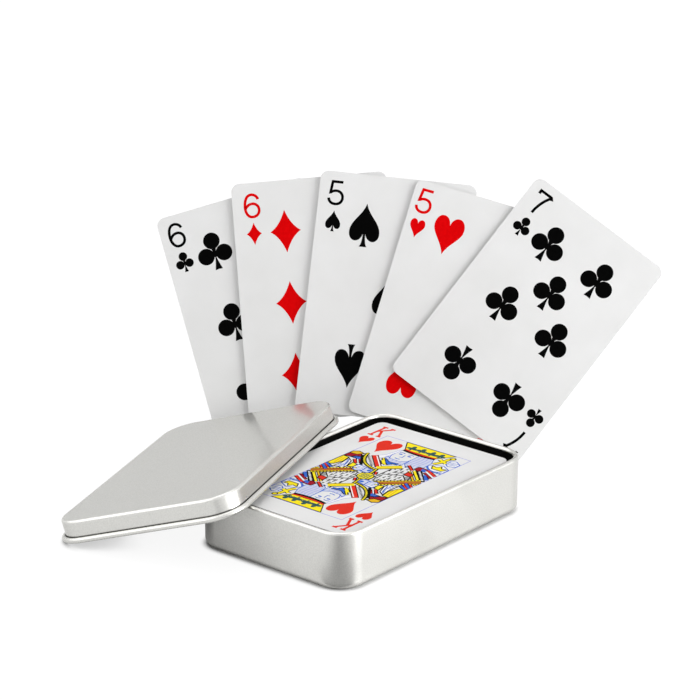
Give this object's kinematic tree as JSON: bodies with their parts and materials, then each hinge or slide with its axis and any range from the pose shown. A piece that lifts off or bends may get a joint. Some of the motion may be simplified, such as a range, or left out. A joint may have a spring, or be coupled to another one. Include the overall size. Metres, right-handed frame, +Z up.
{
  "type": "playing card tin with slip-on lid",
  "caption": "Rectangular tinplate card tin with rounded corners, a loose slip-on lid leaning on its rim, the deck inside and a fan of cards behind.",
  "frame": {"origin": "middle of the tin base's underside, on the table", "axes": "+Z up out of the open tin, +X along its long side, and +Y towards the far long side, on which the lid leans"},
  "size_m": [0.2116, 0.1572, 0.0953],
  "materials": {
    "tinplate": "satin",
    "card": "semi-gloss, plastic-coated"
  },
  "bodies": {
    "tin": {"tin_base": "tinplate", "card_joker_1": "card", "card_joker_2": "card", "card_king_of_clubs": "card", "card_queen_of_clubs": "card", "card_jack_of_clubs": "card", "card_10_of_clubs": "card", "card_9_of_clubs": "card", "card_8_of_clubs": "card", "card_5_of_clubs": "card", "card_4_of_clubs": "card", "card_3_of_clubs": "card", "card_2_of_clubs": "card", "card_ace_of_clubs": "card", "card_king_of_diamonds": "card", "card_queen_of_diamonds": "card", "card_jack_of_diamonds": "card", "card_10_of_diamonds": "card", "card_9_of_diamonds": "card", "card_8_of_diamonds": "card", "card_7_of_diamonds": "card", "card_5_of_diamonds": "card", "card_4_of_diamonds": "card", "card_3_of_diamonds": "card", "card_2_of_diamonds": "card", "card_ace_of_diamonds": "card", "card_queen_of_hearts": "card", "card_jack_of_hearts": "card", "card_10_of_hearts": "card", "card_9_of_hearts": "card", "card_8_of_hearts": "card", "card_7_of_hearts": "card", "card_6_of_hearts": "card", "card_4_of_hearts": "card", "card_3_of_hearts": "card", "card_2_of_hearts": "card", "card_ace_of_hearts": "card", "card_king_of_spades": "card", "card_queen_of_spades": "card", "card_jack_of_spades": "card", "card_10_of_spades": "card", "card_9_of_spades": "card", "card_8_of_spades": "card", "card_7_of_spades": "card", "card_6_of_spades": "card", "card_4_of_spades": "card", "card_3_of_spades": "card", "card_2_of_spades": "card", "card_ace_of_spades": "card"},
    "lid": {"tin_lid": "tinplate"},
    "top_card": {"card_king_of_hearts": "card"},
    "fan_6_of_clubs": {"card_6_of_clubs": "card"},
    "fan_6_of_diamonds": {"card_6_of_diamonds": "card"},
    "fan_5_of_spades": {"card_5_of_spades": "card"},
    "fan_5_of_hearts": {"card_5_of_hearts": "card"},
    "fan_7_of_clubs": {"card_7_of_clubs": "card"}
  },
  "joints": [
    {"name": "lid_lift", "type": "slide", "parent": "tin", "child": "lid", "axis": [0, 0, 1], "range_m": [0, 0.06]},
    {"name": "top_card_tilt", "type": "hinge", "parent": "tin", "child": "top_card", "pos_m": [0, 0.0285, 0.01765], "axis": [-1, 0, 0], "range_deg": [0, 5]},
    {"name": "fan_6_of_clubs_slide", "type": "slide", "parent": "tin", "child": "fan_6_of_clubs", "axis": [0.121, 0.4694, 0.8746], "range_m": [0, 0.06]},
    {"name": "fan_6_of_diamonds_slide", "type": "slide", "parent": "tin", "child": "fan_6_of_diamonds", "axis": [0.249, 0.3225, 0.9132], "range_m": [0, 0.06]},
    {"name": "fan_5_of_spades_slide", "type": "slide", "parent": "tin", "child": "fan_5_of_spades", "axis": [0.3642, 0.1672, 0.9162], "range_m": [0, 0.06]},
    {"name": "fan_5_of_hearts_slide", "type": "slide", "parent": "tin", "child": "fan_5_of_hearts", "axis": [0.4616, 0.0129, 0.887], "range_m": [0, 0.06]},
    {"name": "fan_7_of_clubs_slide", "type": "slide", "parent": "tin", "child": "fan_7_of_clubs", "axis": [0.6038, -0.2847, 0.7445], "range_m": [0, 0.06]}
  ]
}
